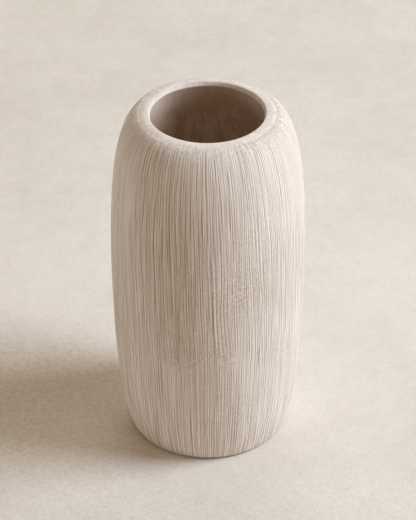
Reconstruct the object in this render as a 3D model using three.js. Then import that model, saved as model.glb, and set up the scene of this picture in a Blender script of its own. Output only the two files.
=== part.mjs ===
// Combed terracotta vase: a base slab, two wall sections, a smooth rim ring and four felt pads.
// Millimetres, +Z up. The origin is on the floor, under the middle of the foot.

import * as THREE from 'three';

// Overall sizes
const HEIGHT = 432; // floor to the top of the lip
const BELLY_DIAMETER = 229; // widest ring
const BELLY_HEIGHT = 250; // widest ring above the floor
const FOOT_DIAMETER = 188; // across the foot before its edge is rounded
const MOUTH_DIAMETER = 132; // clear opening inside the lip

// Sweep of the outer curve
const FOOT_ROUNDING = 2; // radius of the edge under the foot
const FOOT_LEAN = 21.8; // degrees that the wall leans out where it leaves the foot
const FOOT_SWEEP = 40; // how far that lean carries up the wall
const BELLY_SWEEP_DOWN = 114; // how far the belly stays upright below its widest ring
const BELLY_SWEEP_UP = 134; // how far it stays upright above that ring
const SHOULDER_LEAN = 10; // degrees that the shoulder falls away where it leaves the rim ring
const SHOULDER_SWEEP = 19.4; // how far that fall carries down the shoulder

// Clay sections and the joints between them
const WALL = 10; // thickness of the walls up to the widest ring
const INNER_SWEEP_UP = 140; // how far the inside stays upright above the widest ring
const NECK_LEAN = 8; // degrees that the inside leans out where it leaves the rim ring
const NECK_SWEEP = 36; // how far that lean carries down the neck
const SLAB_THICKNESS = 12; // base slab under the wall
const KEY_HEIGHT = 4; // raised disc on the slab that the wall stands around
const SEAM_HEIGHT = 160; // joint between the two wall sections above the floor
const TONGUE_HEIGHT = 4; // ridge under the upper wall that beds in the lower wall
const TONGUE_ROOT = 3.6; // width of the ridge where it leaves the wall
const TONGUE_TIP = 2.4; // width of the ridge at its lower end
const SLIP = 0.3; // film of slip that fills the sides of every joint

// Rim ring
const LIP_WIDTH = 13; // from the mouth to the outer edge of the ring
const LIP_THICKNESS = 6; // top of the ring above its underside
const LIP_FLAT = 4; // level top of the ring beside the bevel
const LIP_CROWN = 1.3; // level top above the edge of the shoulder
const BEVEL_WIDTH = 2; // bevel between the level top and the mouth
const BEVEL_HEIGHT = 4.5; // how far that bevel falls
const LIP_EASING = 0.5; // radius of the lower edge at the mouth
const LIP_OVERHANG = 2.5; // from the mouth back to the ledge that carries the ring

// Felt pads
const PAD_COUNT = 4;
const PAD_DIAMETER = 25;
const PAD_THICKNESS = 2;
const PAD_CIRCLE_DIAMETER = 140; // circle through the middles of the pads

// Finishes
const SLAB_FINISH = { color: 0xc9bcae, roughness: 0.95, metalness: 0 };
const LOWER_WALL_FINISH = { color: 0xd6cbbf, roughness: 0.95, metalness: 0 };
const UPPER_WALL_FINISH = { color: 0xdad0c5, roughness: 0.95, metalness: 0 };
const RIM_FINISH = { color: 0xe2d9d0, roughness: 0.85, metalness: 0 };
const FELT_FINISH = { color: 0x5b4f45, roughness: 1, metalness: 0 };

// Fineness of the faceted surfaces
const FACETS = 72; // round the vase
const PAD_FACETS = 32; // round a pad
const SLAB_STEPS = 6; // up the edge of the slab
const LOWER_STEPS = 5; // up each face of the lower wall
const UPPER_STEPS = 18; // up each face of the upper wall
const LIP_STEPS = 4; // along each curve of the rim ring

// Levels and radii that the sections share
const BELLY_RADIUS = BELLY_DIAMETER / 2;
const MOUTH_RADIUS = MOUTH_DIAMETER / 2;
const SLAB_TOP = PAD_THICKNESS + SLAB_THICKNESS;
const SHOULDER_TOP = HEIGHT - LIP_CROWN;
const SHOULDER_EDGE_RADIUS = MOUTH_RADIUS + LIP_WIDTH;
const LEDGE_LEVEL = HEIGHT - LIP_THICKNESS;
const LEDGE_RADIUS = MOUTH_RADIUS + LIP_OVERHANG;

// Outside of the vase from under the foot to the edge of the shoulder
function sweepOutside() {
  const lean = THREE.MathUtils.degToRad(FOOT_LEAN);
  const fall = THREE.MathUtils.degToRad(SHOULDER_LEAN);
  const path = new THREE.Path();
  path.absarc(
    FOOT_DIAMETER / 2 - FOOT_ROUNDING,
    PAD_THICKNESS + FOOT_ROUNDING,
    FOOT_ROUNDING,
    -Math.PI / 2,
    -lean,
    false
  );
  const foot = path.currentPoint.clone();
  path.bezierCurveTo(
    foot.x + FOOT_SWEEP * Math.sin(lean),
    foot.y + FOOT_SWEEP * Math.cos(lean),
    BELLY_RADIUS,
    BELLY_HEIGHT - BELLY_SWEEP_DOWN,
    BELLY_RADIUS,
    BELLY_HEIGHT
  );
  path.bezierCurveTo(
    BELLY_RADIUS,
    BELLY_HEIGHT + BELLY_SWEEP_UP,
    SHOULDER_EDGE_RADIUS + SHOULDER_SWEEP * Math.cos(fall),
    SHOULDER_TOP - SHOULDER_SWEEP * Math.sin(fall),
    SHOULDER_EDGE_RADIUS,
    SHOULDER_TOP
  );
  return path;
}

const outside = sweepOutside().curves;
const neckStart = outside.length - 1;

// Inside of the neck from the widest ring to the ledge under the rim ring, where the clay is thicker
function sweepNeck() {
  const lean = THREE.MathUtils.degToRad(NECK_LEAN);
  const bellyRadius = BELLY_RADIUS - WALL;
  return new THREE.CubicBezierCurve(
    new THREE.Vector2(bellyRadius, BELLY_HEIGHT),
    new THREE.Vector2(bellyRadius, BELLY_HEIGHT + INNER_SWEEP_UP),
    new THREE.Vector2(LEDGE_RADIUS + NECK_SWEEP * Math.sin(lean), LEDGE_LEVEL - NECK_SWEEP * Math.cos(lean)),
    new THREE.Vector2(LEDGE_RADIUS, LEDGE_LEVEL)
  );
}

const neck = sweepNeck();

// Curve of the outside that a share lies on, with the place along that curve
function curveAt(share) {
  const index = Math.min(Math.floor(share), outside.length - 1);
  return { curve: outside[index], place: share - index };
}

// Point on the outer face: 0 is under the foot, and each curve after it adds 1
function outerPoint(share) {
  const { curve, place } = curveAt(share);
  return curve.getPoint(place);
}

// Point on the inner face: one wall thickness square in from the outer face, and the neck above that
function innerPoint(share) {
  if (share >= neckStart) {
    return neck.getPoint(share - neckStart);
  }
  const { curve, place } = curveAt(share);
  const point = curve.getPoint(place);
  const along = curve.getTangent(place);
  return new THREE.Vector2(point.x - WALL * along.y, point.y + WALL * along.x);
}

// Share at which a face reaches a height, found by halving
function shareAtHeight(facePoint, height) {
  const halvings = 45;
  let low = 0;
  let high = outside.length;
  for (let halving = 0; halving < halvings; halving++) {
    const middle = (low + high) / 2;
    if (facePoint(middle).y < height) {
      low = middle;
    } else {
      high = middle;
    }
  }
  return (low + high) / 2;
}

// Evenly spaced points along a face between two shares
function stretch(facePoint, from, to, steps) {
  const points = [];
  for (let step = 0; step <= steps; step++) {
    points.push(facePoint(THREE.MathUtils.lerp(from, to, step / steps)));
  }
  return points;
}

const outerSlab = shareAtHeight(outerPoint, SLAB_TOP);
const innerSlab = shareAtHeight(innerPoint, SLAB_TOP);
const outerSeam = shareAtHeight(outerPoint, SEAM_HEIGHT);
const innerSeam = shareAtHeight(innerPoint, SEAM_HEIGHT);

// Section of the ridge or of its groove across the middle of the wall, from outside to inside
function tongue(clearance) {
  const middle = (outerPoint(outerSeam).x + innerPoint(innerSeam).x) / 2;
  const root = TONGUE_ROOT / 2 + clearance;
  const tip = TONGUE_TIP / 2 + clearance;
  const bottom = SEAM_HEIGHT - TONGUE_HEIGHT - clearance;
  return [
    new THREE.Vector2(middle + root, SEAM_HEIGHT),
    new THREE.Vector2(middle + tip, bottom),
    new THREE.Vector2(middle - tip, bottom),
    new THREE.Vector2(middle - root, SEAM_HEIGHT)
  ];
}

// Piece turned about the upright axis from its half section
function turned(name, section, finish) {
  const geometry = new THREE.LatheGeometry(section, FACETS);
  geometry.rotateX(Math.PI / 2);
  const mesh = new THREE.Mesh(geometry, new THREE.MeshStandardMaterial(finish));
  mesh.name = name;
  return mesh;
}

// Ring turned from a half section that closes on itself
function turnedRing(name, section, finish) {
  return turned(name, [...section, section[0].clone()], finish);
}

// Base slab: rounded foot, flat seat for the wall and the raised disc inside it
function baseSlab() {
  const keyRadius = innerPoint(innerSlab).x - SLIP;
  const keyTop = SLAB_TOP + KEY_HEIGHT;
  const section = [
    new THREE.Vector2(0, PAD_THICKNESS),
    ...stretch(outerPoint, 0, outerSlab, SLAB_STEPS),
    new THREE.Vector2(keyRadius, SLAB_TOP),
    new THREE.Vector2(keyRadius, keyTop),
    new THREE.Vector2(0, keyTop)
  ];
  return turned('base_slab', section, SLAB_FINISH);
}

// Lower wall: stands on the slab and carries the upper wall on its grooved edge
function lowerWall() {
  const section = [
    ...stretch(outerPoint, outerSlab, outerSeam, LOWER_STEPS),
    ...tongue(SLIP),
    ...stretch(innerPoint, innerSeam, innerSlab, LOWER_STEPS)
  ];
  return turnedRing('lower_wall', section, LOWER_WALL_FINISH);
}

// Upper wall: belly and shoulder, with the ledge for the rim ring and the ridge under its foot
function upperWall() {
  const section = [
    ...stretch(outerPoint, outerSeam, outside.length, UPPER_STEPS),
    new THREE.Vector2(SHOULDER_EDGE_RADIUS, LEDGE_LEVEL),
    ...stretch(innerPoint, outside.length, innerSeam, UPPER_STEPS),
    ...tongue(0).reverse()
  ];
  return turnedRing('upper_wall', section, UPPER_WALL_FINISH);
}

// Rim ring: flat underside on the ledge, bevel into the mouth and a crown that falls to the shoulder
function rimRing() {
  const edge = SHOULDER_EDGE_RADIUS - SLIP;
  const brink = MOUTH_RADIUS + BEVEL_WIDTH;
  const crest = brink + LIP_FLAT;
  const easing = MOUTH_RADIUS + LIP_EASING;
  const path = new THREE.Path();
  path.moveTo(edge, LEDGE_LEVEL);
  path.lineTo(edge, SHOULDER_TOP);
  path.quadraticCurveTo((edge + crest) / 2, HEIGHT, crest, HEIGHT);
  path.lineTo(brink, HEIGHT);
  path.lineTo(MOUTH_RADIUS, HEIGHT - BEVEL_HEIGHT);
  path.absarc(easing, LEDGE_LEVEL + LIP_EASING, LIP_EASING, Math.PI, Math.PI * 1.5, false);
  return turnedRing('rim_ring', path.getPoints(LIP_STEPS), RIM_FINISH);
}

// Felt pads, evenly spaced under the slab
function feltPads() {
  const pads = [];
  const circleRadius = PAD_CIRCLE_DIAMETER / 2;
  for (let index = 0; index < PAD_COUNT; index++) {
    const radius = PAD_DIAMETER / 2;
    const geometry = new THREE.CylinderGeometry(radius, radius, PAD_THICKNESS, PAD_FACETS);
    geometry.rotateX(Math.PI / 2);
    const pad = new THREE.Mesh(geometry, new THREE.MeshStandardMaterial(FELT_FINISH));
    const turn = (index + 0.5) / PAD_COUNT * Math.PI * 2;
    pad.name = `felt_pad_${index + 1}`;
    pad.position.set(circleRadius * Math.cos(turn), circleRadius * Math.sin(turn), PAD_THICKNESS / 2);
    pads.push(pad);
  }
  return pads;
}

const vase = new THREE.Group();
vase.add(baseSlab(), lowerWall(), upperWall(), rimRing(), ...feltPads());

export default vase;
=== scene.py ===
"""Combed and limewashed terracotta vase: base slab, two wall sections, rim ring and felt pads."""

import math

import bpy
import numpy as np
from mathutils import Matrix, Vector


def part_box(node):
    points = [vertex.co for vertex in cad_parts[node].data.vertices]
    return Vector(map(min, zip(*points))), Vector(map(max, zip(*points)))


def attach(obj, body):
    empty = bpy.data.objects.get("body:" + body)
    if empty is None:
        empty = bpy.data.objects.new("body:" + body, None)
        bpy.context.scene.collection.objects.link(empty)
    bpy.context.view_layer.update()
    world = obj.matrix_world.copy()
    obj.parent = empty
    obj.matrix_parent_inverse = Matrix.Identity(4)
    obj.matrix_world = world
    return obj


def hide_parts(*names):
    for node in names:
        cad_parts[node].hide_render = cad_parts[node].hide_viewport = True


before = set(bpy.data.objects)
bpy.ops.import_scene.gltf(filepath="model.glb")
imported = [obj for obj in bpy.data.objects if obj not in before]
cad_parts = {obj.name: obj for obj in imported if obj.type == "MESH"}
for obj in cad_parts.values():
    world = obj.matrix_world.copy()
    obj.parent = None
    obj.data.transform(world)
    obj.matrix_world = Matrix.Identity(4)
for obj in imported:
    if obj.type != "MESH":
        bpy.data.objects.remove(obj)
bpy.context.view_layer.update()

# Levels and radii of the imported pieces, in metres
FOOT_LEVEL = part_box("base_slab")[0].z
KEY_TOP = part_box("base_slab")[1].z
SLAB_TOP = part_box("lower_wall")[0].z
SEAM_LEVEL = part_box("lower_wall")[1].z
SHOULDER_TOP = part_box("upper_wall")[1].z
BELLY_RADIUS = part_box("upper_wall")[1].x
LEDGE_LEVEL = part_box("rim_ring")[0].z
LIP_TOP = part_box("rim_ring")[1].z
RIM_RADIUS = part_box("rim_ring")[1].x
FULL_TURN = 2 * math.pi

# Sweep of the outer curve, in metres
FOOT_RADIUS = 0.0940
FOOT_ROUNDING = 0.002
FOOT_LEAN = math.radians(21.8)
FOOT_SWEEP = 0.040
BELLY_HEIGHT = 0.250
BELLY_SWEEP_DOWN = 0.114
BELLY_SWEEP_UP = 0.134
SHOULDER_LEAN = math.radians(10)
SHOULDER_SWEEP = 0.0194

# Shares of the outline at which its three curves end, and one midway along the last
FOOT_END = 1
BELLY_END = 2
SHOULDER_END = 3
ON_SHOULDER = 2.5

# Clay wall and the joints of its sections, in metres
WALL = 0.010
NECK_LEAN = math.radians(8)
NECK_SWEEP = 0.036
INNER_SWEEP_UP = 0.140
SLIP = 0.0003
TONGUE_HEIGHT = 0.004
TONGUE_ROOT = 0.0036
TONGUE_TIP = 0.0024
LEDGE_RADIUS = 0.0685
SHOULDER_EDGE = RIM_RADIUS + SLIP
EDGE_SOFTENING = 0.00005

# Rim ring, in metres
MOUTH_RADIUS = 0.066
BEVEL_WIDTH = 0.002
BEVEL_HEIGHT = 0.0045
LIP_FLAT = 0.004
LIP_EASING = 0.0005
MOUTH_SHIFT = (-0.0010, 0.0014)
MOUTH_OVAL = 0.0010

# Waver of the lip, in metres, and the average of the ripples that make it
LIP_WAVER = 0.0004
LIP_DIP = 0.5 * LIP_WAVER
LIP_HELD = 0.004
LIP_GIVE = 0.006
DIP_START = 0.003
WAVER_RISE = 0.6
WAVER_MIDDLE = 0.75

# Felt pads, with sizes in metres, and how far upright a face's normal is on their flat sides
PAD_COUNT = 4
PAD_SIDES = 64
PAD_SOFTENING = 0.0005
PAD_INSET = 0.004
PAD_FLAT = 0.99

# Fineness of the turned meshes, in metres where it is a distance
WALL_SEGMENTS = 1400
RIM_SEGMENTS = 480
FOOT_SPACING = FOOT_ROUNDING / 6
SKIN_SPACING = 0.008
SLAB_SPACING = SKIN_SPACING / 2
BREAK_SPACING = 0.004
SHOULDER_SPACING = 0.005
INSIDE_SPACING = 0.018
BREAK_ZONE = 0.024
SHOULDER_START = 0.385
CROWN_POINTS = 12
LIP_FLAT_SHARES = (0.3, 0.6, 0.9)
BEVEL_SHARES = (0.1, 0.4, 0.7, 1.0)
OUTLINE_SAMPLES = 1501
STRETCH_SAMPLES = 400
HALVINGS = 45
START_PLANE = 0.001
MERGE_DISTANCE = 1e-6
RING_TOLERANCE = 5e-6
SMOOTH_ANGLE = math.radians(50)

# Comb marks, in metres, and the tilt of a stroke as a slope
COMB_DEPTH = 0.00011
FINE_COMB_DEPTH = 0.00026
SCRATCH_DEPTH = 0.00025
SCRATCH_WIDTH = 0.0009
SWELL_DEPTH = 0.0004
STRAND_WIDTH = 0.0013
FINE_STRAND_WIDTH = 0.00062
STROKE_WANDER = 0.003
UPRIGHT_WANDER = 0.3 * STROKE_WANDER
STROKE_TILT = 0.022
RAGGED_ENDS = 0.022
BREAK_WANDER = 0.034
BREAK_SPREAD = 0.014
BREAK_OVERLAP = 1.4 * BREAK_SPREAD
SMOOTH_BY_LIP = 0.0005
SWELL_EASE = 0.012

# Passes of the comb over and under the break: strands round the vase, length and width of a stroke
COARSE_ABOVE = (128, 0.250, STRAND_WIDTH)
COARSE_BELOW = (116, 0.200, STRAND_WIDTH)
FINE_ABOVE = (300, 0.160, FINE_STRAND_WIDTH)
FINE_BELOW = (290, 0.130, FINE_STRAND_WIDTH)
FINE_BELOW_FORCE = 0.88

# Chances of one stroke: how far aside in strands, force, width, and the share that each end tapers over
STROKE_ROWS = 16
STRAND_ASIDE = 0.4
STROKE_FORCE = (0.25, 1.0)
STROKE_BREADTH = (0.75, 1.25)
STROKE_TAPER = (0.08, 0.35)

# Burrs beside a groove: how far off in groove widths, and their height as a share of the groove's depth
BURR_OFFSET = 1.9
BURR_SHARE = 0.5
SCRATCH_BURR_OFFSET = 2
SCRATCH_BURR_SHARE = 0.6
SCRATCH_TAPER = 0.2

# Ends of the combing: steepness by the lip, and in foot roundings where it starts and sets in
RAGGED_BY_LIP = 2.6
BARE_FOOT = 0.6
FOOT_EASE = 0.8

# Places with marks of their own: how far round the vase and how wide, then heights and reaches in metres
TILT_TURN = -0.12
CALM_TURN = -0.028
CALM_SPREAD = 0.03
CALM_LEVEL = 0.33
CALM_EASE = 0.03
CALM_SHARE = 0.32
# The brown band: darker left of the front, from the break up to about 0.4 m
BROWN_TURN = -0.055
BROWN_SPREAD = 0.05
BROWN_OVERLAP = 0.014
BROWN_EASE = 0.034
BROWN_TOP = 0.40
BROWN_TOP_EASE = 0.08
# The lip patch: painted shade on the shoulder by the lip, on the left where it turns from the key light
LIP_SHADE_TURN = -0.2
LIP_SHADE_SPREAD = 0.12
LIP_SHADE_REACH = 0.007
CHATTER_TURN = 0.055
CHATTER_SPREAD = 0.035
CHATTER_LEVEL = 0.248
CHATTER_RISE = 0.030
LIP_ROUGH_REACH = 0.035

# How far each kind of mark bares the clay; the brown band only darkens the wash, and the patch by the lip
# darkens it as painted shade
COARSE_BARES = 0.12
FINE_BARES = 0.75
SCRATCH_BARES = 0.55
BROWN_BARES = 0.17
LIP_SHADE_DARKENS = 0.25

# How far each kind of place roughens the limewash, and how a ripple makes its patches
TORN_ROUGH = 0.7
PATCH_ROUGH = 0.35
LIP_ROUGH = 0.9
PATCH_GAIN = 4
PATCH_START = 2.6

# Long scratches: how far round the vase each starts and ends, and the heights between which it runs
SCRATCHES = (
    (-0.1175, -0.1150, 0.418, 0.335),
    (-0.0676, -0.0572, 0.408, 0.196),
    (-0.0936, -0.0870, 0.345, 0.205),
    (-0.0111, -0.0100, 0.385, 0.330),
    (0.0350, 0.0362, 0.416, 0.330),
    (0.0650, 0.0690, 0.405, 0.350),
    (0.0065, 0.0085, 0.262, 0.192),
    (0.0880, 0.0890, 0.172, 0.138),
)

# Colours of the finishes
LIME = (0.88, 0.818, 0.762, 1)
LIME_WARM = (0.845, 0.778, 0.722, 1)
WASHED_CLAY = (0.48, 0.385, 0.31, 1)
RIM_LIME = (0.82, 0.755, 0.69, 1)
BARE_CLAY = (0.67, 0.525, 0.425, 1)
# Darker clay for the streaks, and for painted shade at the back
BARE_CLAY_DARK = (0.54, 0.405, 0.32, 1)
# Painted light: paler clay where the key light falls on the inner left wall
INNER_LIGHT_CLAY = (0.835, 0.66, 0.52, 1)
FELT_DARK = (0.085, 0.068, 0.055, 1)
FELT_PALE = (0.14, 0.115, 0.095, 1)
FLOOR_PALE = (0.785, 0.718, 0.65, 1)
FLOOR_DEEP = (0.63, 0.568, 0.50, 1)

# Gloss of the finishes
CLAY_GLOSS = 0.25
FELT_GLOSS = 0.1
FLOOR_GLOSS = 0.2

# Grain of the finishes, in cells per metre
LIME_CLOUD_CELLS = 14.0
LIME_GRAIN_CELLS = 1100.0
RIM_CLOUD_CELLS = 30.0
RIM_MOTTLE_CELLS = 210.0
CLAY_GRAIN_CELLS = 700.0
FELT_MAT_CELLS = 1500.0
FELT_TUFT_CELLS = 260.0
FLOOR_CLOUD_CELLS = 5.0
PLASTER_CELLS = 34.0
SAND_CELLS = 430.0
GRAVEL_CELLS = 150.0
POCK_CELLS = 240.0

# Streaks of the finishes, in cells per metre: two ways round the vase, then up it
STREAK_CELLS = (700.0, 700.0, 6.0)
HAIR_CELLS = (1000.0, 1000.0, 22.0)
BRUSHED_CELLS = (150.0, 150.0, 9.0)
BREAK_CELLS = (330.0, 330.0, 75.0)
PIT_CELLS = (420.0, 420.0, 260.0)
RIM_STREAK_CELLS = (800.0, 800.0, 60.0)
CLAY_RUN_CELLS = (110.0, 110.0, 4.0)

# Where parts of the limewash and of its painted light and shade set in and are full, in metres: to the right
# or left, or up the skin
# The flanks strengthen the mark colours near the foot, as painted shade of comb relief that the light there
# leaves flat
RIGHT_FLANK = (0.0, 0.07)
LEFT_FLANK = (0.04, 0.09)
FLANK_END = (0.03, 0.09)
# Painted light: a paler strip up the left edge of the wall
EDGE_LIGHT_SIDE = (0.085, 0.112)
EDGE_LIGHT_START = (0.2, 0.32)
EDGE_LIGHT_END = (0.37, 0.43)
# Painted shade: a darker band on the lit right side of the wall
RIGHT_SHADE_SIDE = (0.02, 0.07)
RIGHT_SHADE_START = (0.17, 0.24)
RIGHT_SHADE_END = (0.27, 0.34)
# Painted shade on the left of the lip and on the right of the bevel into the mouth
RIM_LEFT_SHADE_SIDE = (0.04, 0.1)
BEVEL_SHADE_SIDE = (-0.03, 0.05)

# The same inside the vase: painted light to the left, painted shade at the back, and up
INNER_LIGHT_SIDE = (0.035, 0.062)
INNER_LIGHT_LEVEL = (0.345, 0.375)
BACK_SHADE_SIDE = (0.01, 0.07)
BACK_SHADE_LEVEL = (0.36, 0.41)

# The same on the floor: to the front; to the left, stronger grit as painted shade; to the back, painted
# shade; and the front left corner, darker
FRONT_FLOOR = (0.04, 0.22)
# Painted shade: stronger, darker grit where the vase's shadow lies on the left
SHADOW_GRIT_SIDE = (0.0, 0.15)
SHADOW_GRIT_END = (0.05, 0.25)
# Darker towards the front left corner, then painted shade darker towards the back
FRONT_LEFT_DARKENING = (0.25, 0.5)
BACK_FLOOR_SHADE = (0.3, 0.95)

# Noise levels over which a part of a finish sets in and is full
WARM_CLOUDS = (0.36, 0.68)
CLAY_RUNS = (0.42, 0.58)
FELT_FIBRES = (0.35, 0.65)
FLOOR_CLOUDS = (0.35, 0.7)
FLOOR_SPECKS = (0.66, 0.78)
FLOOR_POCKS = (0.70, 0.76)

# Lamps: azimuth and elevation in degrees, distance and width in metres, watts and colour
LAMP_AIM = (0, 0, 0.2)
LAMPS = {
    "key_light": (88, 42, 7.0, 3.6, 590, (0.77, 0.87, 1.0)),
    "right_light": (56, 10, 4.0, 2.5, 37, (0.77, 0.91, 1.0)),
    "left_light": (-90, 15, 5.0, 2.4, 53, (0.79, 0.91, 1.0)),
    "back_light": (180, 35, 3.0, 2.5, 25, (0.93, 1.0, 0.98)),
}
SURROUND_COLOUR = (1.0, 0.60, 0.22, 1)
SURROUND_STRENGTH = 0.247

# Floor and camera
FLOOR_SIZE = 20
CAMERA_PLACE = (0.0, -2.503, 1.9234)
CAMERA_PITCH = math.radians(34.12)
CAMERA_LENS = 176.1


# Outline of the vase

def foot_corner():
    """Middle of the rounded edge under the foot."""
    return np.array([FOOT_RADIUS - FOOT_ROUNDING, FOOT_LEVEL + FOOT_ROUNDING])


def sweep_corners(share):
    """Corners of the cubic curve that a share of the outline lies on."""
    lean = np.array([math.sin(FOOT_LEAN), math.cos(FOOT_LEAN)])
    fall = np.array([math.cos(SHOULDER_LEAN), -math.sin(SHOULDER_LEAN)])
    foot = foot_corner() + FOOT_ROUNDING * np.array([lean[1], -lean[0]])
    belly = np.array([BELLY_RADIUS, BELLY_HEIGHT])
    edge = np.array([SHOULDER_EDGE, SHOULDER_TOP])
    if share < BELLY_END:
        return foot, foot + FOOT_SWEEP * lean, belly - [0, BELLY_SWEEP_DOWN], belly
    return belly, belly + [0, BELLY_SWEEP_UP], edge + SHOULDER_SWEEP * fall, edge


def cubic(corners, t):
    """Point of a cubic curve and the normal to its right."""
    a, b, c, d = corners
    s = 1 - t
    point = s**3 * a + 3 * s * s * t * b + 3 * s * t * t * c + t**3 * d
    along = s * s * (b - a) + 2 * s * t * (c - b) + t * t * (d - c)
    normal = np.array([along[1], -along[0]])
    return point, normal / np.linalg.norm(normal)


def outer_point(share):
    """Point on the outside and its outward normal, at a share of the outline that is 0 under the foot."""
    if share < FOOT_END:
        angle = -math.pi / 2 + share * (math.pi / 2 - FOOT_LEAN)
        normal = np.array([math.cos(angle), math.sin(angle)])
        return foot_corner() + FOOT_ROUNDING * normal, normal
    return cubic(sweep_corners(share), share - FOOT_END if share < BELLY_END else share - BELLY_END)


def inner_point(share):
    """Point on the inside: one wall thickness in from the outside, and from the belly up a thicker neck."""
    if share < BELLY_END:
        point, normal = outer_point(share)
        return point - WALL * normal, -normal
    lean = np.array([math.sin(NECK_LEAN), -math.cos(NECK_LEAN)])
    belly = np.array([BELLY_RADIUS - WALL, BELLY_HEIGHT])
    ledge = np.array([LEDGE_RADIUS, LEDGE_LEVEL])
    neck = (belly, belly + [0, INNER_SWEEP_UP], ledge + NECK_SWEEP * lean, ledge)
    point, normal = cubic(neck, share - BELLY_END)
    return point, -normal


def share_where(reached):
    """Share of the outline at which a test on it first holds, found by halving."""
    low, high = 0.0, SHOULDER_END
    for halving in range(HALVINGS):
        middle = (low + high) / 2
        if reached(middle):
            high = middle
        else:
            low = middle
    return (low + high) / 2


def outer_share(height):
    """Share at which the outside reaches a height."""
    return share_where(lambda share: outer_point(share)[0][1] >= height)


def inner_share(height):
    """Share at which the inside reaches a height."""
    return share_where(lambda share: inner_point(share)[0][1] >= height)


def runs_along(shares):
    """Distance along the outline from the first of some shares to each of them."""
    points = np.array([outer_point(share)[0] for share in shares])
    steps = np.linalg.norm(np.diff(points, axis=0), axis=1)
    return np.concatenate([[0], np.cumsum(steps)])


OUTLINE_SHARES = np.linspace(0, SHOULDER_END, OUTLINE_SAMPLES)
OUTLINE_RUNS = runs_along(OUTLINE_SHARES)


def spaced_shares(start, end, spacing):
    """Shares from start to end that lie a spacing apart along the outline."""
    fine = np.linspace(start, end, STRETCH_SAMPLES)
    runs = runs_along(fine)
    count = max(2, math.ceil(runs[-1] / spacing) + 1)
    return list(np.interp(np.linspace(0, runs[-1], count), runs, fine))


def arc(middle, radius, start, end, count):
    """Points of an arc between two angles in degrees."""
    angles = np.radians(np.linspace(start, end, count))
    return [np.array(middle) + radius * np.array([math.cos(a), math.sin(a)]) for a in angles]


def tongue(clearance):
    """Section of the ridge under the upper wall, or of its groove, from outside to inside."""
    outer = outer_point(outer_share(SEAM_LEVEL))[0][0]
    inner = inner_point(inner_share(SEAM_LEVEL))[0][0]
    middle = (outer + inner) / 2
    root = TONGUE_ROOT / 2 + clearance
    tip = TONGUE_TIP / 2 + clearance
    bottom = SEAM_LEVEL - TONGUE_HEIGHT - clearance
    return [(middle + root, SEAM_LEVEL), (middle + tip, bottom),
            (middle - tip, bottom), (middle - root, SEAM_LEVEL)]


# Turning

def turn_piece(name, section, segments, closed):
    """Draws a half section by extruding one vertex along it, and turns it round the upright axis."""
    bpy.ops.object.select_all(action="DESELECT")
    bpy.ops.mesh.primitive_plane_add(size=START_PLANE)
    piece = bpy.context.object
    piece.name = name
    piece.data.name = name
    bpy.ops.object.mode_set(mode="EDIT")
    bpy.ops.mesh.select_all(action="SELECT")
    bpy.ops.mesh.merge(type="CENTER")
    bpy.ops.transform.translate(value=(section[0][0], 0, section[0][1]))
    for here, there in zip(section, section[1:]):
        step = (there[0] - here[0], 0, there[1] - here[1])
        bpy.ops.mesh.extrude_vertices_move(TRANSFORM_OT_translate={"value": step})
    bpy.ops.object.mode_set(mode="OBJECT")
    if closed:
        last = len(piece.data.vertices) - 1
        for vertex in piece.data.vertices:
            vertex.select = vertex.index in (0, last)
        bpy.ops.object.mode_set(mode="EDIT")
        bpy.ops.mesh.edge_face_add()
        bpy.ops.object.mode_set(mode="OBJECT")
    bpy.ops.object.modifier_add(type="SCREW")
    lathe = piece.modifiers[-1]
    lathe.axis = "Z"
    lathe.angle = FULL_TURN
    lathe.steps = segments
    lathe.render_steps = segments
    lathe.use_merge_vertices = True
    lathe.merge_threshold = MERGE_DISTANCE
    bpy.ops.object.modifier_apply(modifier=lathe.name)
    bpy.ops.object.mode_set(mode="EDIT")
    bpy.ops.mesh.select_all(action="SELECT")
    bpy.ops.mesh.remove_doubles(threshold=MERGE_DISTANCE)
    bpy.ops.mesh.normals_make_consistent(inside=False)
    bpy.ops.object.mode_set(mode="OBJECT")
    bpy.ops.object.shade_smooth_by_angle(angle=SMOOTH_ANGLE)
    return piece


def vertex_places(piece):
    """Places of a piece's vertices, one row each."""
    places = np.zeros(len(piece.data.vertices) * 3, np.float32)
    piece.data.vertices.foreach_get("co", places)
    return places.reshape(-1, 3).astype(float)


def move_vertices(piece, places):
    """Puts a piece's vertices at new places."""
    piece.data.vertices.foreach_set("co", places.astype(np.float32).ravel())
    piece.data.update()


def turns_of(places):
    """How far round the vase places lie: 0 at the front, a quarter at the right."""
    return np.arctan2(places[:, 0], -places[:, 1]) / FULL_TURN


# Comb marks

def smooth(values):
    """Values held between 0 and 1 and eased at both ends."""
    held = np.clip(values, 0, 1)
    return held * held * (3 - 2 * held)


def away(values, middle, spread):
    """How many spreads values lie from a middle one, squared."""
    return ((values - middle) / spread) ** 2


def ripple(turn, run, cells, rise, seed):
    """Smooth random values from 0 to 1: so many cells round the vase, each so many metres tall."""
    rows = math.ceil(OUTLINE_RUNS[-1] / rise) + 2
    table = np.random.default_rng(seed).random((rows, cells))
    across = (turn % 1) * cells
    up = run / rise
    column = np.floor(across).astype(int)
    row = np.floor(up).astype(int)
    ease_across = smooth(across - column)
    ease_up = smooth(up - row)
    beside = (column + 1) % cells
    column = column % cells
    low = table[row, column] * (1 - ease_across) + table[row, beside] * ease_across
    high = table[row + 1, column] * (1 - ease_across) + table[row + 1, beside] * ease_across
    return low * (1 - ease_up) + high * ease_up


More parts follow.
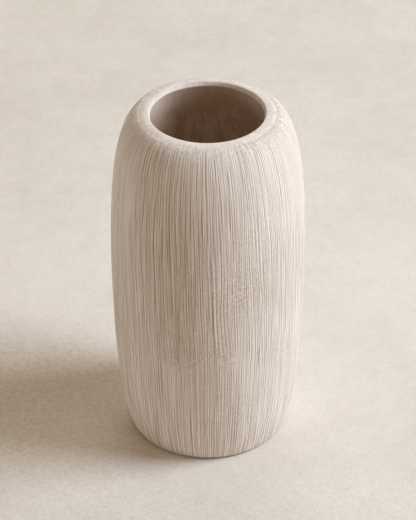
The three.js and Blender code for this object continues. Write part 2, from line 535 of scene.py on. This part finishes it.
def strokes(turn, run, kept, count, reach, width, seed):
    """Level that one pass of the comb leaves, about -1 to 1: grooves above 0, burrs beside them below.

    The pass has so many strands round the vase and strokes about one reach long. It is kept where a
    place lies inside the combed zone, given as a distance, and its strokes end raggedly there.
    """
    chance = np.random.default_rng(seed)
    table = (STROKE_ROWS, count)
    start = chance.random(count)
    ragged = chance.random(count)
    aside = chance.uniform(-STRAND_ASIDE, STRAND_ASIDE, table)
    force = chance.uniform(*STROKE_FORCE, table)
    breadth = chance.uniform(*STROKE_BREADTH, table) * width
    taper = chance.uniform(*STROKE_TAPER, table)
    pitch = FULL_TURN * BELLY_RADIUS / count
    place = (turn % 1) * count
    level = np.zeros_like(turn)
    for neighbour in (-1, 0, 1):
        column = np.floor(place).astype(int) + neighbour
        strand = column % count
        up = run / reach + start[strand]
        stroke = np.floor(up).astype(int) % STROKE_ROWS, strand
        along = up % 1
        ends = smooth(along / taper[stroke]) * smooth((1 - along) / taper[stroke])
        inside = smooth(kept / RAGGED_ENDS - ragged[strand])
        off = (place - column - 0.5 - aside[stroke]) * pitch / breadth[stroke]
        burrs = np.exp(-(off - BURR_OFFSET) ** 2) + np.exp(-(off + BURR_OFFSET) ** 2)
        level += force[stroke] * ends * inside * (np.exp(-off ** 2) - BURR_SHARE * burrs)
    return level


def scratches(turn, height):
    """Level of the long scratches: a groove above 0 and the burr on its right below 0."""
    level = np.zeros_like(turn)
    for top_turn, low_turn, top, low in SCRATCHES:
        down = (top - height) / (top - low)
        off = (turn - top_turn - (low_turn - top_turn) * down) * FULL_TURN * BELLY_RADIUS
        ends = smooth(down / SCRATCH_TAPER) * smooth((1 - down) / SCRATCH_TAPER)
        groove = np.exp(-(off / SCRATCH_WIDTH) ** 2)
        burr = np.exp(-(off / SCRATCH_WIDTH - SCRATCH_BURR_OFFSET) ** 2)
        level += ends * (groove - SCRATCH_BURR_SHARE * burr)
    return level


def comb_marks(turn, run, height):
    """Depth and colour of the comb marks, with painted shade by the lip on the left, wall swell and
    roughness at places on the outside.
    """
    level = SEAM_LEVEL + BREAK_WANDER * (ripple(turn, 0 * run, cells=22, rise=1.0, seed=5) - 0.5)
    to_lip = OUTLINE_RUNS[-1] - run
    above = np.minimum(height - level + BREAK_OVERLAP, RAGGED_BY_LIP * (to_lip - SMOOTH_BY_LIP))
    below = level - height + BREAK_SPREAD

    around = FULL_TURN * BELLY_RADIUS
    tilt = STROKE_TILT * (1 + np.cos(FULL_TURN * (turn - TILT_TURN)))
    wander_above = STROKE_WANDER * (ripple(turn, run, cells=34, rise=0.075, seed=11) - 0.5)
    wander_below = UPRIGHT_WANDER * (ripple(turn, run, cells=34, rise=0.12, seed=12) - 0.5)
    leaning = turn + (tilt * run + wander_above) / around
    upright = turn + wander_below / around

    bundle = 0.8 + 0.4 * ripple(turn, run, cells=30, rise=0.11, seed=13)
    coarse = bundle * strokes(leaning, run, above, *COARSE_ABOVE, seed=21)
    coarse += strokes(upright, run, below, *COARSE_BELOW, seed=41)
    calm = CALM_SHARE * np.exp(-away(turn, CALM_TURN, CALM_SPREAD))
    calm *= smooth((height - CALM_LEVEL) / CALM_EASE)
    fine = (1 - calm) * strokes(leaning, run, above, *FINE_ABOVE, seed=31)
    fine += FINE_BELOW_FORCE * strokes(upright, run, below, *FINE_BELOW, seed=51)
    scratch = scratches(turn, height)
    depth = COMB_DEPTH * coarse + FINE_COMB_DEPTH * fine + SCRATCH_DEPTH * scratch

    # A brown band, darker left of the front from the break up to about 0.4 m
    brown_rise = smooth((height - level + BROWN_OVERLAP) / BROWN_EASE)
    brown_rise *= smooth((BROWN_TOP - height) / BROWN_TOP_EASE)
    brown = brown_rise * np.exp(-away(turn, BROWN_TURN, BROWN_SPREAD))
    # Painted shade: darker on the shoulder by the lip on the left, where it turns from the key light
    painted_lip_shade = np.exp(-away(to_lip, 0, LIP_SHADE_REACH) - away(turn, LIP_SHADE_TURN, LIP_SHADE_SPREAD))
    worn = COARSE_BARES * coarse + FINE_BARES * fine + SCRATCH_BARES * scratch
    worn += BROWN_BARES * brown
    worn += LIP_SHADE_DARKENS * painted_lip_shade

    swell = ripple(turn, run, cells=13, rise=0.060, seed=81) - 0.5
    chatter = np.exp(-away(turn, CHATTER_TURN, CHATTER_SPREAD) - away(height, CHATTER_LEVEL, CHATTER_RISE))
    torn = np.exp(-away(height, level, BREAK_SPREAD))
    torn *= 0.4 + 0.6 * ripple(turn, run, cells=40, rise=0.03, seed=92)
    patches = smooth(PATCH_GAIN * ripple(turn, run, cells=11, rise=0.075, seed=91) - PATCH_START)
    by_lip = smooth(1 - to_lip / LIP_ROUGH_REACH)
    rough = np.clip(chatter + TORN_ROUGH * torn + PATCH_ROUGH * patches + LIP_ROUGH * by_lip, 0, 1)
    return depth, worn, swell, rough


def skin_rings(piece, shares):
    """Which vertices of a turned piece lie on its outer face, and the share of the outline of each."""
    places = vertex_places(piece)
    radius = np.hypot(places[:, 0], places[:, 1])
    ring_share = np.full(len(places), -1.0)
    for share in shares:
        point = outer_point(share)[0]
        as_wide = np.abs(radius - point[0]) < RING_TOLERANCE
        as_high = np.abs(places[:, 2] - point[1]) < RING_TOLERANCE
        ring_share[as_wide & as_high] = share
    return ring_share >= 0, ring_share


def comb_piece(piece, shares):
    """Cuts the comb marks into the outer face of a turned piece and notes them for its finish."""
    skin, ring_share = skin_rings(piece, shares)
    places = vertex_places(piece)
    turn = turns_of(places)
    run = np.interp(ring_share, OUTLINE_SHARES, OUTLINE_RUNS)
    depth, worn, swell, rough = (values * skin for values in comb_marks(turn, run, places[:, 2]))
    by_foot = smooth((run / FOOT_ROUNDING - BARE_FOOT) / FOOT_EASE)
    by_lip = smooth((OUTLINE_RUNS[-1] - run) / SWELL_EASE)
    push = (SWELL_DEPTH * swell * by_lip - depth) * by_foot
    normals = {share: outer_point(share)[1] for share in shares}
    outward = np.array([normals.get(share, (0.0, 0.0)) for share in ring_share])
    around = FULL_TURN * turn
    moved = places + push[:, None] * np.stack(
        [np.sin(around) * outward[:, 0], -np.cos(around) * outward[:, 0], outward[:, 1]], axis=1)
    move_vertices(piece, moved)
    note_marks(piece, turn, run, worn * by_foot, rough)
    bare_faces(piece, skin)


def note_marks(piece, turn, run, worn, rough):
    """Keeps two values of each vertex for a finish, and its place with the skin unrolled upwards."""
    around = FULL_TURN * turn
    lay = np.stack([np.sin(around) * BELLY_RADIUS, -np.cos(around) * BELLY_RADIUS, run], axis=1)
    kept = piece.data.attributes
    kept.new("worn", "FLOAT", "POINT").data.foreach_set("value", worn.astype(np.float32))
    kept.new("rough", "FLOAT", "POINT").data.foreach_set("value", rough.astype(np.float32))
    kept.new("lay", "FLOAT_VECTOR", "POINT").data.foreach_set("vector", lay.astype(np.float32).ravel())


def bare_faces(piece, skin):
    """Gives the faces off the skin the piece's second finish."""
    corners = np.zeros(len(piece.data.loops), np.int32)
    starts = np.zeros(len(piece.data.polygons), np.int32)
    piece.data.loops.foreach_get("vertex_index", corners)
    piece.data.polygons.foreach_get("loop_start", starts)
    washed = np.logical_and.reduceat(skin[corners], starts)
    piece.data.polygons.foreach_set("material_index", np.where(washed, 0, 1).astype(np.int32))


# Clay pieces

def make_base_slab():
    """Base slab: rounded foot, flat seat for the wall and the raised disc inside it."""
    foot = spaced_shares(0, FOOT_END, FOOT_SPACING)
    edge = spaced_shares(FOOT_END, outer_share(SLAB_TOP), SLAB_SPACING)
    skin = foot + edge[1:]
    key = inner_point(inner_share(SLAB_TOP))[0][0] - SLIP
    under = [(radius, FOOT_LEVEL) for radius in (0, FOOT_RADIUS / 3, FOOT_RADIUS * 2 / 3)]
    top = [(key, SLAB_TOP), (key, KEY_TOP), (key * 2 / 3, KEY_TOP), (key / 3, KEY_TOP), (0, KEY_TOP)]
    section = under + [outer_point(share)[0] for share in skin] + top
    piece = turn_piece("vase_base_slab", section, WALL_SEGMENTS, closed=False)
    comb_piece(piece, skin)
    return piece


def make_lower_wall():
    """Lower wall: stands on the slab and carries the upper wall on its grooved edge."""
    broken = outer_share(SEAM_LEVEL - BREAK_ZONE)
    skin = spaced_shares(outer_share(SLAB_TOP), broken, SKIN_SPACING)
    skin += spaced_shares(broken, outer_share(SEAM_LEVEL), BREAK_SPACING)[1:]
    inside = spaced_shares(inner_share(SEAM_LEVEL), inner_share(SLAB_TOP), INSIDE_SPACING)
    section = [outer_point(share)[0] for share in skin] + tongue(SLIP)
    section += [inner_point(share)[0] for share in inside]
    piece = turn_piece("vase_lower_wall", section, WALL_SEGMENTS, closed=True)
    comb_piece(piece, skin)
    return piece


def make_upper_wall():
    """Upper wall: belly and shoulder, with the ledge for the rim ring and the ridge under its foot."""
    start = outer_share(SHOULDER_START)
    lip_gap = SHOULDER_EDGE + EDGE_SOFTENING
    end = share_where(lambda share: share > ON_SHOULDER and outer_point(share)[0][0] <= lip_gap)
    broken = outer_share(SEAM_LEVEL + BREAK_ZONE)
    skin = spaced_shares(outer_share(SEAM_LEVEL), broken, BREAK_SPACING)
    skin += spaced_shares(broken, start, SKIN_SPACING)[1:]
    skin += spaced_shares(start, end, SHOULDER_SPACING)[1:]
    edge_top = outer_point(end)[0][1]
    edge = arc((lip_gap, edge_top - EDGE_SOFTENING), EDGE_SOFTENING, start=90, end=180, count=4)[1:]
    ledge = [(SHOULDER_EDGE, LEDGE_LEVEL)]
    inside = spaced_shares(SHOULDER_END, inner_share(SEAM_LEVEL), INSIDE_SPACING)
    section = [outer_point(share)[0] for share in skin] + edge + ledge
    section += [inner_point(share)[0] for share in inside] + tongue(0)[::-1]
    piece = turn_piece("vase_upper_wall", section, WALL_SEGMENTS, closed=True)
    comb_piece(piece, skin)
    return piece


def rim_section():
    """Half section of the rim ring from its outer foot over the lip, and the two ends of the lip's flat."""
    throat = np.array([MOUTH_RADIUS, LIP_TOP - BEVEL_HEIGHT])
    brink = np.array([MOUTH_RADIUS + BEVEL_WIDTH, LIP_TOP])
    crest = brink + [LIP_FLAT, 0]
    shoulder = (SHOULDER_EDGE - EDGE_SOFTENING, SHOULDER_TOP - EDGE_SOFTENING)
    side = arc(shoulder, EDGE_SOFTENING, start=0, end=70, count=5)
    fall = side[-1]
    bend = np.array([(fall[0] + crest[0]) / 2, LIP_TOP])
    crown = [(1 - t) ** 2 * fall + 2 * t * (1 - t) * bend + t * t * crest
             for t in np.linspace(0, 1, CROWN_POINTS)]
    flat = [crest * (1 - t) + brink * t for t in LIP_FLAT_SHARES]
    bevel = [brink * (1 - t) + throat * t for t in BEVEL_SHARES]
    easing = (MOUTH_RADIUS + LIP_EASING, LEDGE_LEVEL + LIP_EASING)
    under = arc(easing, LIP_EASING, start=180, end=270, count=5)
    section = [(SHOULDER_EDGE, LEDGE_LEVEL)] + side + crown[1:] + flat + bevel + under
    return section, brink, crest


def make_rim_ring():
    """Rim ring: flat underside on the ledge, bevel into the mouth and a crown that falls to the shoulder."""
    section, brink, crest = rim_section()
    piece = turn_piece("vase_rim_ring", section, RIM_SEGMENTS, closed=True)
    places = vertex_places(piece)
    turn = turns_of(places)
    radius = np.hypot(places[:, 0], places[:, 1])
    level = places[:, 2].copy()
    by_mouth = smooth((SHOULDER_EDGE - LIP_HELD - radius) / LIP_GIVE)
    waver = ripple(turn, level, cells=11, rise=WAVER_RISE, seed=101)
    waver += 0.5 * ripple(turn, level, cells=37, rise=WAVER_RISE, seed=102)
    stretch = 1 + LIP_WAVER * (waver - WAVER_MIDDLE) * by_mouth / radius
    places[:, 0] *= stretch
    places[:, 1] *= stretch
    dip = ripple(turn, level, cells=9, rise=WAVER_RISE, seed=103)
    dip += 0.4 * ripple(turn, level, cells=41, rise=WAVER_RISE, seed=104)
    places[:, 2] -= LIP_DIP * dip * by_mouth * smooth((level - LEDGE_LEVEL) / DIP_START)
    places[:, 0] += MOUTH_SHIFT[0] * by_mouth
    places[:, 1] += (MOUTH_SHIFT[1] + MOUTH_OVAL * places[:, 1] / radius) * by_mouth
    move_vertices(piece, places)
    combed = smooth((radius - crest[0]) / (SHOULDER_EDGE - crest[0]))
    bevelled = smooth((brink[0] - radius) / BEVEL_WIDTH)
    note_marks(piece, turn, OUTLINE_RUNS[-1] + SHOULDER_EDGE - radius, combed, bevelled)
    return piece


# Felt pads

def make_felt_pad(index):
    """Pressed felt disc under the slab, with soft edges."""
    low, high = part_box(f"felt_pad_{index}")
    middle = (low + high) / 2
    bpy.ops.object.select_all(action="DESELECT")
    bpy.ops.mesh.primitive_cylinder_add(
        vertices=PAD_SIDES, radius=(high.x - low.x) / 2, depth=high.z - low.z, location=middle)
    piece = bpy.context.object
    piece.name = f"vase_felt_pad_{index}"
    piece.data.name = piece.name
    bpy.ops.object.transform_apply(location=True, rotation=True, scale=True)
    bpy.ops.object.mode_set(mode="EDIT")
    bpy.ops.mesh.select_all(action="SELECT")
    bpy.ops.mesh.bevel(offset=PAD_SOFTENING, segments=3, affect="EDGES")
    bpy.ops.object.mode_set(mode="OBJECT")
    for face in piece.data.polygons:
        face.select = abs(face.normal.z) > PAD_FLAT
    bpy.ops.object.mode_set(mode="EDIT")
    bpy.ops.mesh.inset(thickness=PAD_INSET)
    bpy.ops.mesh.inset(thickness=PAD_INSET)
    bpy.ops.object.mode_set(mode="OBJECT")
    bpy.ops.object.shade_smooth_by_angle(angle=SMOOTH_ANGLE)
    return piece


# Finishes
#
# In a finish, worn is how far the colour goes from the first one to the second, by wear and, where
# said, by painted light and shade. The number before a part of it is that part's weight, and a noise less
# 0.5 is about 0 on average.

class Wire:
    """An output socket in a material, or with no socket the material itself. Operators add Math nodes."""

    def __init__(self, tree, socket=None):
        self.tree = tree
        self.socket = socket

    def node(self, kind, settings=None, inputs=None, output=0):
        """Adds a node with its settings, then its socket values or links, and gives one of its outputs."""
        made = self.tree.nodes.new(kind)
        for name, value in (settings or {}).items():
            setattr(made, name, value)
        for name, value in (inputs or {}).items():
            if isinstance(value, Wire):
                self.tree.links.new(value.socket, made.inputs[name])
            else:
                made.inputs[name].default_value = value
        return Wire(self.tree, made.outputs[output])

    def maths(self, operation, first, second=0.0, clamp=False):
        """Result of one operation on two values."""
        settings = {"operation": operation, "use_clamp": clamp}
        return self.node("ShaderNodeMath", settings, {0: first, 1: second})

    def __add__(self, other):
        return self.maths("ADD", self, other)

    def __radd__(self, other):
        return self.maths("ADD", other, self)

    def __sub__(self, other):
        return self.maths("SUBTRACT", self, other)

    def __rsub__(self, other):
        return self.maths("SUBTRACT", other, self)

    def __mul__(self, other):
        return self.maths("MULTIPLY", self, other)

    def __rmul__(self, other):
        return self.maths("MULTIPLY", other, self)

    def __neg__(self):
        return self.maths("MULTIPLY", -1, self)

    def held(self):
        """This value held between 0 and 1."""
        return self.maths("ADD", self, 0.0, clamp=True)

    def band(self, low, high):
        """0 below low, 1 above high, eased between."""
        return self.node("ShaderNodeMapRange", {"interpolation_type": "SMOOTHSTEP"},
                         {"Value": self, "From Min": low, "From Max": high})

    def along(self, axis):
        """How far this place lies along X, Y or Z."""
        return self.node("ShaderNodeSeparateXYZ", None, {"Vector": self}, axis)

    def place(self):
        """Place on the piece, in metres."""
        return self.node("ShaderNodeTexCoord", output="Object")

    def noted(self, name, output="Fac"):
        """What was noted at the vertices under a name."""
        return self.node("ShaderNodeAttribute", {"attribute_name": name}, output=output)

    def noise(self, place, cells, detail=3.0, roughness=0.55):
        """Noise at a place on the piece, about 0.5."""
        return self.node("ShaderNodeTexNoise", {"noise_dimensions": "3D"},
                         {"Vector": place, "Scale": cells, "Detail": detail, "Roughness": roughness}, "Fac")

    def streaks(self, place, cells, detail=3.0):
        """Noise with its own number of cells along X, Y and Z."""
        stretched = self.node("ShaderNodeMapping", {"vector_type": "POINT"},
                              {"Vector": place, "Scale": cells}, "Vector")
        return self.noise(stretched, 1.0, detail)

    def blend(self, share, first, second):
        """Colour between two others."""
        return self.node("ShaderNodeMix", {"data_type": "RGBA", "clamp_factor": True},
                         {"Factor": share, 6: first, 7: second}, 2)

    def bumped(self, height, strength, distance):
        """Normal of a surface raised by a height."""
        return self.node("ShaderNodeBump", None,
                         {"Height": height, "Strength": strength, "Distance": distance}, "Normal")


def new_finish(name, gloss):
    """A new material, the wire that adds nodes to it, and its shader."""
    material = bpy.data.materials.new(name)
    material.use_nodes = True
    shader = material.node_tree.nodes["Principled BSDF"]
    shader.inputs["Specular IOR Level"].default_value = gloss
    return material, Wire(material.node_tree), shader


def dress(material, shader, colour, roughness, normal):
    """Links what varies over the surface to the shader."""
    links = material.node_tree.links
    links.new(colour.socket, shader.inputs["Base Color"])
    links.new(roughness.socket, shader.inputs["Roughness"])
    links.new(normal.socket, shader.inputs["Normal"])
    return material


def limewash_finish():
    """Thin limewash that sits on the combed strands and leaves the clay showing in the grooves."""
    material, wire, shader = new_finish("limewashed clay", CLAY_GLOSS)
    place = wire.place()
    lay = wire.noted("lay", "Vector")
    combed = wire.noted("worn")
    rough = wire.noted("rough")
    side = lay.along("X")
    run = lay.along("Z")
    cloud = wire.noise(place, LIME_CLOUD_CELLS, detail=4.0)
    grain = wire.noise(place, LIME_GRAIN_CELLS)
    streak = wire.streaks(lay, STREAK_CELLS, detail=0.0)
    hair = wire.streaks(lay, HAIR_CELLS, detail=0.0)
    brushed = wire.streaks(lay, BRUSHED_CELLS, detail=1.0)
    breaks = wire.streaks(lay, BREAK_CELLS, detail=2.0)
    pits = wire.streaks(lay, PIT_CELLS)
    # Strength of the mark colours, set by how light falls: weaker on the lit right, stronger at the foot's
    # flanks, as painted shade of the comb relief
    flank_shade = 1.7 * side.band(*RIGHT_FLANK) + (-side).band(*LEFT_FLANK)
    mark_strength = 1.25 - 3.5 * side + flank_shade * (1 - run.band(*FLANK_END))
    torn = (0.2 + rough) * (pits - 0.45)
    lines = (1 - 0.5 * rough) * (0.6 * (streak - 0.5) + 0.6 * (hair - 0.5)) + 0.4 * (brushed - 0.5)
    dashes = (2.5 * breaks - 0.2) * combed
    # Painted light: the wash paler up the left edge of the wall
    painted_edge_light = 0.26 * (-side).band(*EDGE_LIGHT_SIDE) * run.band(*EDGE_LIGHT_START) * (1 - run.band(*EDGE_LIGHT_END))
    # Painted shade: the wash darker in a band on the lit right side
    painted_right_shade = 0.14 * side.band(*RIGHT_SHADE_SIDE) * run.band(*RIGHT_SHADE_START) * (1 - run.band(*RIGHT_SHADE_END))
    # The wash darker to the right and paler to the left, with the painted light and shade above
    wash_tone_and_shade = 0.40 + 0.8 * side + painted_right_shade - painted_edge_light
    worn = wash_tone_and_shade + mark_strength * (dashes + lines) + 0.5 * (grain - 0.5) + 1.5 * torn
    lime = wire.blend(cloud.band(*WARM_CLOUDS), LIME, LIME_WARM)
    colour = wire.blend(worn.held(), lime, WASHED_CLAY)
    roughness = 0.86 + 0.1 * grain
    relief = 0.55 * streak + 0.3 * hair + 0.25 * grain - 0.8 * torn
    return dress(material, shader, colour, roughness, wire.bumped(relief, strength=0.5, distance=0.0007))


def rim_finish():
    """Limewash smoothed over the lip, thicker and paler than on the combed wall."""
    material, wire, shader = new_finish("smoothed rim limewash", CLAY_GLOSS)
    place = wire.place()
    lay = wire.noted("lay", "Vector")
    combed = wire.noted("worn")
    bevelled = wire.noted("rough")
    side = lay.along("X")
    cloud = wire.noise(place, RIM_CLOUD_CELLS, detail=4.0)
    mottle = wire.noise(place, RIM_MOTTLE_CELLS, detail=4.0, roughness=0.65)
    grain = wire.noise(place, LIME_GRAIN_CELLS)
    streak = wire.streaks(lay, RIM_STREAK_CELLS)
    marks = combed * (streak - 0.5)
    # Painted shade: the lip darker on its left, and the bevel darker on its right; the rest of the bevel is
    # paler
    rim_left_shade = 0.15 * (-side).band(*RIM_LEFT_SHADE_SIDE) * (1 - bevelled)
    bevel_tone_and_shade = bevelled * (0.6 * side.band(*BEVEL_SHADE_SIDE) - 0.28)
    mottled = 0.7 * (cloud - 0.5) + 1.1 * (mottle - 0.5) + 0.5 * (grain - 0.5)
    worn = 0.28 + rim_left_shade + bevel_tone_and_shade + mottled + 2.0 * marks
    colour = wire.blend(worn.held(), RIM_LIME, WASHED_CLAY)
    roughness = 0.76 + 0.16 * grain
    relief = 0.4 * grain + 0.6 * mottle + 0.8 * marks
    return dress(material, shader, colour, roughness, wire.bumped(relief, strength=0.4, distance=0.0006))


def bare_clay_finish():
    """Bare fired clay inside the vase, darker along streaks, with painted shade high on the back wall and
    painted light on the left wall.
    """
    material, wire, shader = new_finish("bare fired clay", CLAY_GLOSS)
    place = wire.place()
    across = place.along("X")
    deep = place.along("Y")
    height = place.along("Z")
    runs = wire.streaks(place, CLAY_RUN_CELLS)
    grain = wire.noise(place, CLAY_GRAIN_CELLS)
    # Painted light: paler where the key light falls on the inner left wall, near the mouth
    painted_inner_light = (-across).band(*INNER_LIGHT_SIDE) * height.band(*INNER_LIGHT_LEVEL)
    # Painted shade: darker high on the back wall inside
    painted_back_shade = deep.band(*BACK_SHADE_SIDE) * height.band(*BACK_SHADE_LEVEL)
    worn = runs.band(*CLAY_RUNS) + 0.7 * painted_back_shade
    clay = wire.blend(worn.held(), BARE_CLAY, BARE_CLAY_DARK)
    colour = wire.blend(painted_inner_light.held(), clay, INNER_LIGHT_CLAY)
    roughness = 0.84 + 0.12 * grain
    relief = 0.5 * runs + 0.5 * grain
    return dress(material, shader, colour, roughness, wire.bumped(relief, strength=0.4, distance=0.0008))


def felt_finish():
    """Pressed wool felt: matted short fibres."""
    material, wire, shader = new_finish("pressed felt", FELT_GLOSS)
    place = wire.place()
    mat = wire.noise(place, FELT_MAT_CELLS, detail=6.0, roughness=0.7)
    tuft = wire.noise(place, FELT_TUFT_CELLS)
    colour = wire.blend(mat.band(*FELT_FIBRES), FELT_DARK, FELT_PALE)
    roughness = 0.92 + 0.06 * mat
    relief = 0.6 * mat + 0.4 * tuft
    return dress(material, shader, colour, roughness, wire.bumped(relief, strength=0.8, distance=0.0008))


def floor_finish():
    """Pale trowelled floor."""
    material, wire, shader = new_finish("pale floor", FLOOR_GLOSS)
    place = wire.place()
    across = place.along("X")
    deep = place.along("Y")
    cloud = wire.noise(place, FLOOR_CLOUD_CELLS, detail=6.0, roughness=0.6)
    plaster = wire.noise(place, PLASTER_CELLS, detail=9.0, roughness=0.85)
    sand = wire.noise(place, SAND_CELLS, detail=2.0)
    gravel = wire.noise(place, GRAVEL_CELLS, detail=5.0, roughness=0.8)
    specks = sand.band(*FLOOR_SPECKS)
    pocks = wire.noise(place, POCK_CELLS, detail=1.0).band(*FLOOR_POCKS)
    front = (-deep).band(*FRONT_FLOOR)
    # Painted shade: grit stronger where the vase's shadow lies on the left, standing in for the relief's
    # shading there
    painted_shadow_grit = (-across).band(*SHADOW_GRIT_SIDE) * (1 - deep.band(*SHADOW_GRIT_END)) * (1 - front)
    grit = 1.5 * (gravel - 0.5) + 0.6 * (sand - 0.5) + 2.6 * specks
    # Clouds, darker towards the front left corner, and painted shade darker towards the back against the
    # back lamp's light
    corner = (-(across + deep)).band(*FRONT_LEFT_DARKENING)
    floor_tone_and_shade = 0.32 * cloud.band(*FLOOR_CLOUDS) + 0.5 * corner + 0.42 * deep.band(*BACK_FLOOR_SHADE)
    gritty = (0.6 + 0.7 * front + 2.4 * painted_shadow_grit) * grit
    worn = 0.22 + floor_tone_and_shade + 1.4 * (plaster - 0.5) + gritty + 1.2 * pocks
    colour = wire.blend(worn.held(), FLOOR_PALE, FLOOR_DEEP)
    roughness = 0.8 + 0.1 * sand
    relief = plaster + 0.3 * sand - 0.5 * specks
    return dress(material, shader, colour, roughness, wire.bumped(relief, strength=0.6, distance=0.002))


# The vase

CLAY_SECTIONS = (
    (make_base_slab, "base_slab"),
    (make_lower_wall, "lower_wall"),
    (make_upper_wall, "upper_wall"),
)

limewash = limewash_finish()
bare_clay = bare_clay_finish()
for make, node in CLAY_SECTIONS:
    section_piece = make()
    section_piece.data.materials.append(limewash)
    section_piece.data.materials.append(bare_clay)
    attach(section_piece, "root")
    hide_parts(node)

rim_ring = make_rim_ring()
rim_ring.data.materials.append(rim_finish())
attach(rim_ring, "root")
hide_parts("rim_ring")

felt = felt_finish()
for pad_index in range(1, PAD_COUNT + 1):
    pad = make_felt_pad(pad_index)
    pad.data.materials.append(felt)
    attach(pad, "root")
    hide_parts(f"felt_pad_{pad_index}")


# Stage, light and camera

bpy.ops.object.select_all(action="DESELECT")
bpy.ops.mesh.primitive_plane_add(size=FLOOR_SIZE)
floor = bpy.context.object
floor.name = "floor"
floor.data.materials.append(floor_finish())


def soft_lamp(name, azimuth, elevation, distance, width, power, colour):
    """Round soft lamp aimed at the vase: azimuth 0 is the camera's side and 90 the right."""
    turn = math.radians(azimuth)
    tilt = math.radians(elevation)
    back = np.array([math.sin(turn) * math.cos(tilt), -math.cos(turn) * math.cos(tilt), math.sin(tilt)])
    bpy.ops.object.light_add(type="AREA", location=np.array(LAMP_AIM) + distance * back)
    lamp = bpy.context.object
    lamp.name = name
    lamp.rotation_euler = (math.pi / 2 - tilt, 0, turn)
    lamp.data.shape = "DISK"
    lamp.data.size = width
    lamp.data.energy = power
    lamp.data.color = colour


for lamp_name, lamp_settings in LAMPS.items():
    soft_lamp(lamp_name, *lamp_settings)

world = bpy.data.worlds.new("studio")
bpy.context.scene.world = world
world.use_nodes = True
surround = world.node_tree.nodes["Background"]
surround.inputs["Color"].default_value = SURROUND_COLOUR
surround.inputs["Strength"].default_value = SURROUND_STRENGTH

bpy.ops.object.camera_add(location=CAMERA_PLACE, rotation=(math.pi / 2 - CAMERA_PITCH, 0, 0))
camera = bpy.context.object
camera.data.lens = CAMERA_LENS
bpy.context.scene.camera = camera
bpy.context.scene.view_settings.view_transform = "Standard"
